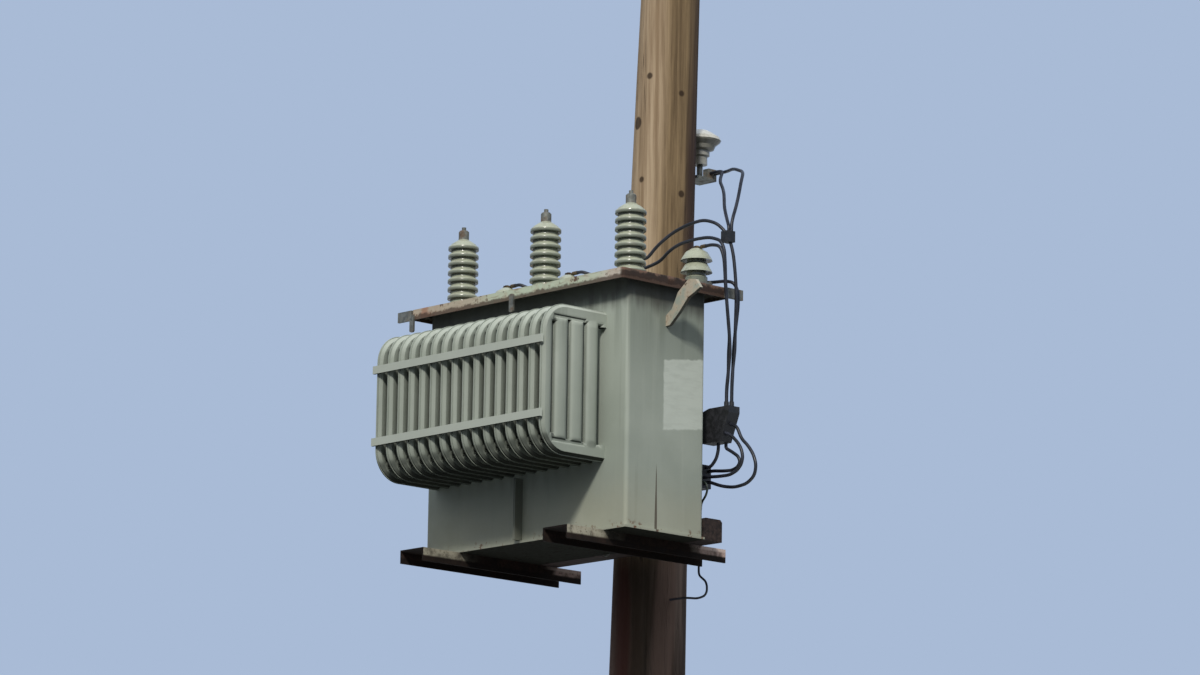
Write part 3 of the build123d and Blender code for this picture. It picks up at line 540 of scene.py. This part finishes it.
def galvanised_steel():
    """Hot dip zinc, dulled: grey with soft spangle about 12 mm across."""
    material, tree, place = new_material("dull_hot_dip_zinc")
    spangle = add(tree, AXES, add(tree, CELLS, place, per(11.765), output="Color"))
    base = add(tree, MIX, spangle, "#62645f", "#80827b")
    stain = add(tree, NOISE, place, per(45.45), 6, 0.65)
    base = add(tree, MIX, add(tree, FADE, stain, 0.50, 0.66, 0.0, 0.8), base, "#5d4938")
    return with_shader(material, {
        "Base Color": base,
        "Metallic": add(tree, FADE, stain, 0.46, 0.62, 0.55, 0.08),
        "Roughness": add(tree, FADE, stain, 0.4, 0.7, 0.52, 0.84),
        "Normal": add(tree, BUMP, Strength=0.25, Distance=1 * MM, Height=stain),
    })


def tarnished_brass():
    """Turned brass terminals gone brown, with green at the edges of the threads."""
    material, tree, place = new_material("tarnished_brass")
    tarnish = add(tree, NOISE, place, per(16.67), 5, 0.6)
    base = add(tree, MIX, add(tree, FADE, tarnish, 0.35, 0.65), "#40362a", "#6c5a3c")
    base = add(tree, MIX, add(tree, FADE, tarnish, 0.60, 0.72, 0.0, 0.6), base, "#566b5e")
    return with_shader(material, {
        "Base Color": base,
        "Metallic": add(tree, FADE, tarnish, 0.4, 0.65, 0.6, 0.2),
        "Roughness": add(tree, FADE, tarnish, 0.4, 0.7, 0.45, 0.75),
        "Normal": add(tree, BUMP, Strength=0.2, Distance=0.6 * MM, Height=tarnish),
    })


def painted_casting():
    """Cast lifting hook whose enamel has flaked to cream primer and rust."""
    material, tree, place = new_material("flaked_enamel_on_cast_steel")
    flakes = add(tree, NOISE, place, per(62.5), 7, 0.7)
    base = add(tree, MIX, add(tree, FADE, flakes, 0.40, 0.56), "#9ba398", "#b3aa98")
    base = add(tree, MIX, add(tree, FADE, flakes, 0.56, 0.68, 0.0, 0.85), base, "#8a7361")
    pits = add(tree, NOISE, place, per(16.67), 5, 0.65)
    base = add(tree, MIX, add(tree, FADE, pits, 0.60, 0.70, 0.0, 0.8), base, "#5c4838")
    # Painted shade on what faces down
    base = add(tree, MIX, add(tree, FADE, facing(tree)[2], -0.3, -0.9, 0.0, 0.8), base, "#39322b")
    return with_shader(material, {
        "Base Color": base,
        "Roughness": add(tree, FADE, flakes, 0.35, 0.7, 0.55, 0.85),
        "Specular IOR Level": 0.3,
        "Normal": add(tree, BUMP, Strength=0.4, Distance=2 * MM, Height=flakes),
    })


def cable_sheath(name, light, dark):
    """Extruded polyethylene sheath, chalked where the sun reaches it."""
    material, tree, place = new_material(name)
    chalk = add(tree, NOISE, place, per(62.5), 6, 0.6)
    relief = add(tree, NOISE, place, per(4.545), 3, 0.55)
    return with_shader(material, {
        "Base Color": add(tree, MIX, add(tree, FADE, chalk, 0.4, 0.7), dark, light),
        "Roughness": add(tree, FADE, chalk, 0.35, 0.7, 0.38, 0.62),
        "Normal": add(tree, BUMP, Strength=0.15, Distance=0.6 * MM, Height=relief),
    })


def moulded_housing():
    """Glass filled nylon connector bodies, moulded and weathered to a dull black."""
    material, tree, place = new_material("weathered_glass_filled_nylon")
    chalk = add(tree, NOISE, place, per(22.22), 6, 0.65)
    relief = add(tree, NOISE, place, per(3.333), 3, 0.55)
    return with_shader(material, {
        "Base Color": add(tree, MIX, add(tree, FADE, chalk, 0.4, 0.7), "#151619", "#2b2c31"),
        "Roughness": add(tree, FADE, chalk, 0.3, 0.7, 0.5, 0.75),
        "Normal": add(tree, BUMP, Strength=0.3, Distance=0.8 * MM, Height=relief),
    })


finishes = {
    "tank_paint": grey_green_enamel("chalked_grey_green_enamel"),
    "lid_paint": worn_lid_enamel(),
    "weathered_wood": weathered_pine(),
    "dark_timber": creosoted_timber(),
    "rusted_steel": rusted_mild_steel(),
    "glazed_porcelain": glazed_porcelain("grey_green_glazed_porcelain", "#a6ac99", "#4e554a"),
    "galvanised_steel": galvanised_steel(),
    "brass_terminal": tarnished_brass(),
    "connector_housing": moulded_housing(),
    "black_cable": cable_sheath("weathered_black_polyethylene", "#292c38", "#13151d"),
    "green_cable": cable_sheath("faded_green_polyethylene", "#3b4a40", "#232d27"),
}
# Some pieces differ from the rest of their slot
# The radiator's ties get a lighter copy of the enamel: painted light
painted_light_enamel = grey_green_enamel("grey_green_enamel_painted_lighter", painted_light_share=0.55)
own_finish = {
    # The wall stiffener gets a darker copy of the enamel: painted shade
    "wall_stiffener": grey_green_enamel("grey_green_enamel_painted_darker", painted_shade_share=0.6),
    "radiator_upper_tie": painted_light_enamel,
    "radiator_lower_tie": painted_light_enamel,
    "pole_insulator": glazed_porcelain("white_glazed_porcelain", "#c9c9c0", "#85857c"),
    "lifting_hooks": painted_casting(),
}

slots = {part["node"]: part["material_slot"] for part in frame["record"]["subparts"]}
for name, piece in frame["nodes"].items():
    for slot in piece.material_slots:
        slot.material = own_finish.get(name, finishes[slots[name]])


# Small fasteners and turned porcelains, made by Geometry Nodes

# The kinds of node that their trees use, each with its settings
TREE_INPUT = ("NodeGroupInput", {})
TREE_OUTPUT = ("NodeGroupOutput", {})
CYLINDER = ("GeometryNodeMeshCylinder", {})
VECTOR = ("ShaderNodeCombineXYZ", {})
MOVED = ("GeometryNodeTransform", {})
JOINED = ("GeometryNodeJoinGeometry", {})
ATTRIBUTE = ("GeometryNodeInputNamedAttribute", {"data_type": "FLOAT_VECTOR"})
ALIGNED = ("FunctionNodeAlignRotationToVector", {"axis": "Z"})
RANDOM = ("FunctionNodeRandomValue", {"data_type": "FLOAT"})
TURN = ("FunctionNodeAxisAngleToRotation", {})
TURNED_AGAIN = ("FunctionNodeRotateRotation", {"rotation_space": "LOCAL"})
AS_CURVE = ("GeometryNodeMeshToCurve", {})
CIRCLE = ("GeometryNodeCurvePrimitiveCircle", {"mode": "RADIUS"})
SWEPT = ("GeometryNodeCurveToMesh", {})
FLIPPED = ("GeometryNodeFlipFaces", {})
MERGED = ("GeometryNodeMergeByDistance", {})
ROW = ("GeometryNodeMeshLine", {"mode": "OFFSET", "count_mode": "TOTAL"})
ON_POINTS = ("GeometryNodeInstanceOnPoints", {})
REALIZED = ("GeometryNodeRealizeInstances", {})
PAINTED = ("GeometryNodeSetMaterial", {})

SOCKET_TYPES = {float: "NodeSocketFloat", int: "NodeSocketInt", tuple: "NodeSocketVector"}


def geometry_tree(name, taken, sizes):
    """A tree that takes one mesh and gives one back, with a named input for each size, and the
    sockets that carry them."""
    tree = bpy.data.node_groups.new(name, "GeometryNodeTree")
    tree.interface.new_socket(taken, in_out="INPUT", socket_type="NodeSocketGeometry")
    tree.interface.new_socket("Mesh", in_out="OUTPUT", socket_type="NodeSocketGeometry")
    for label, size in sizes.items():
        socket = tree.interface.new_socket(label, in_out="INPUT", socket_type=SOCKET_TYPES[type(size)])
        socket.default_value = size
    return tree, add(tree, TREE_INPUT).node.outputs


def plain_piece(name, mesh, tree, sizes, sharp_angle=None):
    """Run a tree on a mesh with these sizes and keep what it makes as one plain mesh, smooth up to
    an angle if one is given."""
    holder = bpy.data.objects.new(name + "_source", mesh)
    scene.collection.objects.link(holder)
    modifier = holder.modifiers.new("tree", "NODES")
    modifier.node_group = tree
    identifiers = {socket.name: socket.identifier for socket in tree.interface.items_tree}
    for label, size in sizes.items():
        modifier[identifiers[label]] = size
    bpy.context.view_layer.update()
    evaluated = holder.evaluated_get(bpy.context.evaluated_depsgraph_get())
    made = bpy.data.meshes.new_from_object(evaluated)
    made.name = name
    if sharp_angle:
        made.shade_smooth()
        made.set_sharp_from_angle(angle=sharp_angle)
    piece = bpy.data.objects.new(name, made)
    scene.collection.objects.link(piece)
    bpy.data.objects.remove(holder)
    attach(piece, "root")
    return piece


# Corners of a nut, and of the polygons that stand for a round washer and bolt
NUT_CORNERS = 6
WASHER_CORNERS = 28
BOLT_CORNERS = 20
# Corners of a turned piece, and the angle past which its edges are sharp
TURNED_CORNERS = 56
SHARP_ANGLE = math.radians(50)


def fastener_tree(name, material):
    """Hex nut on a washer with its bolt end, set on every point of the input mesh and turned to the
    way that the point faces; nuts get a turn of their own from a fixed seed."""
    tree, source = geometry_tree(name, "Points", {
        "Nut Radius": 13 * MM, "Nut Height": 12 * MM, "Bolt Radius": 8 * MM, "Bolt Length": 20 * MM,
        "Washer Radius": 20 * MM, "Washer Thickness": 3 * MM, "Seed": 5})
    joined = add(tree, JOINED)
    for corners, radius, depth, foot in (
            (WASHER_CORNERS, "Washer Radius", "Washer Thickness", 0.0),
            (NUT_CORNERS, "Nut Radius", "Nut Height", source["Washer Thickness"]),
            (BOLT_CORNERS, "Bolt Radius", "Bolt Length", 0.0)):
        solid = add(tree, CYLINDER, Vertices=corners, Radius=source[radius], Depth=source[depth])
        lift = add(tree, PLUS, add(tree, TIMES, source[depth], 0.5), foot)
        tree.links.new(add(tree, MOVED, solid, Translation=add(tree, VECTOR, Z=lift)), joined.node.inputs[0])
    outwards = add(tree, ALIGNED, Vector=add(tree, ATTRIBUTE, "facing"))
    angle = add(tree, TIMES, add(tree, RANDOM, Seed=source["Seed"]), 2 * math.pi / NUT_CORNERS)
    rotation = add(tree, TURNED_AGAIN, outwards, add(tree, TURN, (0, 0, 1), angle))
    placed = add(tree, ON_POINTS, source["Points"], Instance=joined, Rotation=rotation)
    add(tree, TREE_OUTPUT, add(tree, PAINTED, add(tree, REALIZED, placed), Material=material))
    return tree


def lathe_tree(name, material):
    """An outline that stands out from a core, turned round the upright axis and set along a row."""
    tree, source = geometry_tree(name, "Outline", {
        "Core Radius": 45 * MM, "Corners": TURNED_CORNERS, "Row Start": (0.0, 0.0, 0.0),
        "Row Step": (1.0, 0.0, 0.0), "Row Count": 1})
    circle = add(tree, CIRCLE, Resolution=source["Corners"], Radius=source["Core Radius"])
    # The sweep takes a flat outline whose height runs along -Y
    flat = add(tree, MOVED, source["Outline"], Rotation=(math.pi / 2, 0, 0))
    solid = add(tree, FLIPPED, add(tree, SWEPT, circle, add(tree, AS_CURVE, flat)))
    # The outline's two ends lie on the axis, where each ring of corners becomes one
    closed = add(tree, MERGED, solid, Distance=0.01 * MM)
    row = add(tree, ROW, source["Row Count"], source["Row Start"], source["Row Step"])
    placed = add(tree, ON_POINTS, row, Instance=closed)
    add(tree, TREE_OUTPUT, add(tree, PAINTED, add(tree, REALIZED, placed), Material=material))
    return tree


def fasten(name, places, finish_slot, sizes):
    """Set fasteners of these sizes at (point, normal) places."""
    mesh = bpy.data.meshes.new(name + "_points")
    mesh.from_pydata([point for point, normal in places], [], [])
    attribute = mesh.attributes.new("facing", "FLOAT_VECTOR", "POINT")
    for number, (point, normal) in enumerate(places):
        attribute.data[number].vector = normal
    plain_piece(name, mesh, fastener_tree(name + "_tree", finishes[finish_slot]), sizes)


def row_centres(rings, count):
    """Centres of a row of bushings, from the box of their clamp rings."""
    ring_radius = (high(rings)[1] - low(rings)[1]) / 2
    first = low(rings)[0] + ring_radius
    last = high(rings)[0] - ring_radius
    return [(first + (last - first) * number / (count - 1), middle(rings, 1)) for number in range(count)]


def ring_places(centres, radius, height, count, start):
    """Upright places in a ring round each centre."""
    places = []
    for x, y in centres:
        for number in range(count):
            angle = start + number * 2 * math.pi / count
            places.append(((x + radius * math.cos(angle), y + radius * math.sin(angle), height), (0, 0, 1)))
    return places


# Bushings in each row, nuts on each clamp ring, the circle they stand on and the first one's angle
HV_COUNT = 3
HV_NUTS = 6
HV_NUT_CIRCLE = 62 * MM
HV_FIRST_NUT = 0.3
LV_COUNT = 4
LV_NUTS = 4
LV_NUT_CIRCLE = 49 * MM
LV_FIRST_NUT = 0.8

hv_centres = row_centres("hv_clamp_rings", HV_COUNT)
hv_places = ring_places(hv_centres, HV_NUT_CIRCLE, high("hv_clamp_rings")[2], HV_NUTS, HV_FIRST_NUT)
fasten("hv_ring_nuts", hv_places, "galvanised_steel", {
    "Nut Radius": 8 * MM, "Nut Height": 7 * MM, "Bolt Radius": 4 * MM, "Bolt Length": 14 * MM,
    "Washer Radius": 9.5 * MM, "Washer Thickness": 1.5 * MM})
lv_centres = row_centres("lv_clamp_rings", LV_COUNT)
lv_places = ring_places(lv_centres, LV_NUT_CIRCLE, high("lv_clamp_rings")[2], LV_NUTS, LV_FIRST_NUT)
fasten("lv_ring_nuts", lv_places, "galvanised_steel", {
    "Nut Radius": 7 * MM, "Nut Height": 6 * MM, "Bolt Radius": 3.5 * MM, "Bolt Length": 11 * MM,
    "Washer Radius": 8 * MM, "Washer Thickness": 1.2 * MM})

# The high voltage sheds' fuller cores and round lips, which the plain porcelain solids leave out
SHED_COUNT = 8
SHED_PITCH = 30.5 * MM
SHED_RADIUS = 56 * MM
SHED_CORE = 45 * MM
SHED_FOOT = 14 * MM
BASE_RADIUS = 41 * MM
CAP_SEAT_RADIUS = 19 * MM
# One shed from its foot up: share of the way from core to lip, and height above the foot
SHED_PROFILE = ((0.0, 3.0 * MM), (0.45, 2.2 * MM), (0.85, 1.6 * MM), (0.96, 2.6 * MM), (1.0, 5.0 * MM),
                (1.0, 10.5 * MM), (0.95, 13.6 * MM), (0.82, 15.8 * MM), (0.40, 19.5 * MM), (0.08, 22.5 * MM),
                (0.0, 24.5 * MM))

bushing_foot = low("hv_porcelains")[2]
bushing_height = high("hv_porcelains")[2] - bushing_foot
outline = [(0.0, 0.0), (BASE_RADIUS, 0.0), (BASE_RADIUS, SHED_FOOT)]
for number in range(SHED_COUNT):
    for share, height in SHED_PROFILE:
        outline.append((SHED_CORE + share * (SHED_RADIUS - SHED_CORE),
                        SHED_FOOT + number * SHED_PITCH + height))
outline += [(CAP_SEAT_RADIUS, bushing_height), (0.0, bushing_height)]
outline_mesh = bpy.data.meshes.new("porcelain_outline")
outline_mesh.from_pydata([(radius - SHED_CORE, 0, height) for radius, height in outline],
                         [(number, number + 1) for number in range(len(outline) - 1)], [])
hv_tree = lathe_tree("ribbed_porcelains_tree", finishes["glazed_porcelain"])
porcelains = plain_piece("ribbed_porcelains", outline_mesh, hv_tree, {
    "Core Radius": SHED_CORE, "Row Start": (*hv_centres[0], bushing_foot),
    "Row Step": (hv_centres[1][0] - hv_centres[0][0], 0.0, 0.0), "Row Count": HV_COUNT,
}, SHARP_ANGLE)
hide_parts("hv_porcelains")

# Bolts hold the bars on the crossarm, two to a bar
M16 = {"Nut Radius": 15 * MM, "Nut Height": 12 * MM, "Bolt Radius": 8 * MM, "Washer Thickness": 4 * MM}
BAR_BOLT_STEP = 30 * MM
arm_places = [((BAR_MIDDLE + side * BAR_SPREAD + step, middle("crossarm", 1), high("crossarm")[2]), (0, 0, 1))
              for side in (-1, 1) for step in (-BAR_BOLT_STEP, BAR_BOLT_STEP)]
fasten("crossarm_bolts", arm_places, "galvanised_steel",
       M16 | {"Bolt Length": 30 * MM, "Washer Radius": 24 * MM})

# Two through bolts hold the crossarm: heads on its front, nuts behind the pole, let into the wood
ARM_BOLT_STEP = 25 * MM
NUT_LET_IN = 2.5 * MM
bolt_places = []
for step in (-ARM_BOLT_STEP, ARM_BOLT_STEP):
    height = middle("crossarm", 2) + step
    bolt_places.append(((POLE_MIDDLE_AT_ARM, low("crossarm")[1], height), (0, -1, 0)))
    bolt_places.append(((POLE_MIDDLE_AT_ARM, POLE_RADIUS_AT_ARM - NUT_LET_IN, height), (0, 1, 0)))
fasten("pole_through_bolts", bolt_places, "galvanised_steel",
       M16 | {"Bolt Length": 26 * MM, "Washer Radius": 23 * MM})


# Camera: the photograph's place, aim, roll and framing

CAMERA_PLACE = Vector((14.294, -13.397, 1.536))
CAMERA_AIM = Vector((0.1808, -0.450, 5.4752))
CAMERA_ROLL = math.radians(0.917)
IMAGE_WIDTH = 1200
FOCAL_PIXELS = 5496.3
CENTRE_OFFSET = (-8.6, -38.4)
SENSOR_WIDTH = 36
VIEW_LIMIT = 200

camera_data = bpy.data.cameras.new("camera")
camera = bpy.data.objects.new("camera", camera_data)
scene.collection.objects.link(camera)
forward = (CAMERA_AIM - CAMERA_PLACE).normalized()
level_right = forward.cross(Vector((0, 0, 1))).normalized()
level_up = level_right.cross(forward)
right = level_right * math.cos(CAMERA_ROLL) + level_up * math.sin(CAMERA_ROLL)
up = level_up * math.cos(CAMERA_ROLL) - level_right * math.sin(CAMERA_ROLL)
camera.matrix_world = Matrix.Translation(CAMERA_PLACE) @ Matrix((right, up, -forward)).transposed().to_4x4()
camera_data.sensor_width = SENSOR_WIDTH
camera_data.lens = FOCAL_PIXELS / IMAGE_WIDTH * SENSOR_WIDTH
camera_data.shift_x = -CENTRE_OFFSET[0] / IMAGE_WIDTH
camera_data.shift_y = CENTRE_OFFSET[1] / IMAGE_WIDTH
camera_data.clip_end = VIEW_LIMIT
scene.camera = camera


# Floor and light

BACKGROUND = ("ShaderNodeBackground", {})
EITHER = ("ShaderNodeMixShader", {})
WORLD = ("ShaderNodeOutputWorld", {})
FLOOR_RADIUS = 80
FLOOR_SEGMENTS = 96


def seen_rays(tree):
    """1 for camera, glossy and transmission rays, 0 for the rays that only carry light."""
    rays = add(tree, RAYS).node.outputs
    mirrored = add(tree, LARGER, rays["Is Glossy Ray"], rays["Is Transmission Ray"])
    return add(tree, LARGER, rays["Is Camera Ray"], mirrored)


def matt_floor():
    """Matt slab that looks pale but throws little light up, because the platform's underside is
    nearly black."""
    material, tree, _ = new_material("pale_matt_floor")
    return with_shader(material, {
        "Base Color": add(tree, MIX, seen_rays(tree), "#3c3d3c", "#b9bcbc"),
        "Roughness": 0.9,
    })


floor_mesh = bpy.data.meshes.new("floor")
builder = bmesh.new()
bmesh.ops.create_circle(builder, cap_ends=True, radius=FLOOR_RADIUS, segments=FLOOR_SEGMENTS)
builder.to_mesh(floor_mesh)
builder.free()
floor_mesh.materials.append(matt_floor())
floor = bpy.data.objects.new("floor", floor_mesh)
scene.collection.objects.link(floor)

# The key stands high to the right of the radiator: it lights the front wall beside the radiator
# and throws the radiator's shadow down to the left. The soft light is strongest from overhead.
KEY_DIRECTION = Vector((0.50, -0.62, 0.61))
KEY_DISTANCE = 20.0
KEY_POWER = 2950
KEY_SIZE = 2.4
TANK_MIDDLE = Vector((0.0, -0.4, 5.0))
OVERHEAD_STRENGTH = 1.45
LEVEL_STRENGTH = 0.02

key_data = bpy.data.lights.new("key", "AREA")
key_data.shape = "DISK"
key_data.size = KEY_SIZE
key_data.energy = KEY_POWER
key_data.color = linear("#fff9f0")[:3]
key = bpy.data.objects.new("key", key_data)
scene.collection.objects.link(key)
key.location = TANK_MIDDLE + KEY_DISTANCE * KEY_DIRECTION
key.rotation_euler = (TANK_MIDDLE - key.location).to_track_quat("-Z", "Y").to_euler()

world = bpy.data.worlds.new("soft_overhead_light")
scene.world = world
world.use_nodes = True
surround = world.node_tree
surround.nodes.clear()
elevation = add(surround, AXES, add(surround, COORDINATES, output="Generated")).node.outputs["Z"]
overhead = add(surround, TIMES, add(surround, LARGER, elevation, 0.0), OVERHEAD_STRENGTH)
soft_light = add(surround, BACKGROUND, "#eef1f6", add(surround, PLUS, overhead, LEVEL_STRENGTH))
backdrop = add(surround, BACKGROUND, "#a9bbd6", 1.0)
add(surround, WORLD, add(surround, EITHER, seen_rays(surround), soft_light, backdrop))

scene.view_settings.view_transform = "Standard"
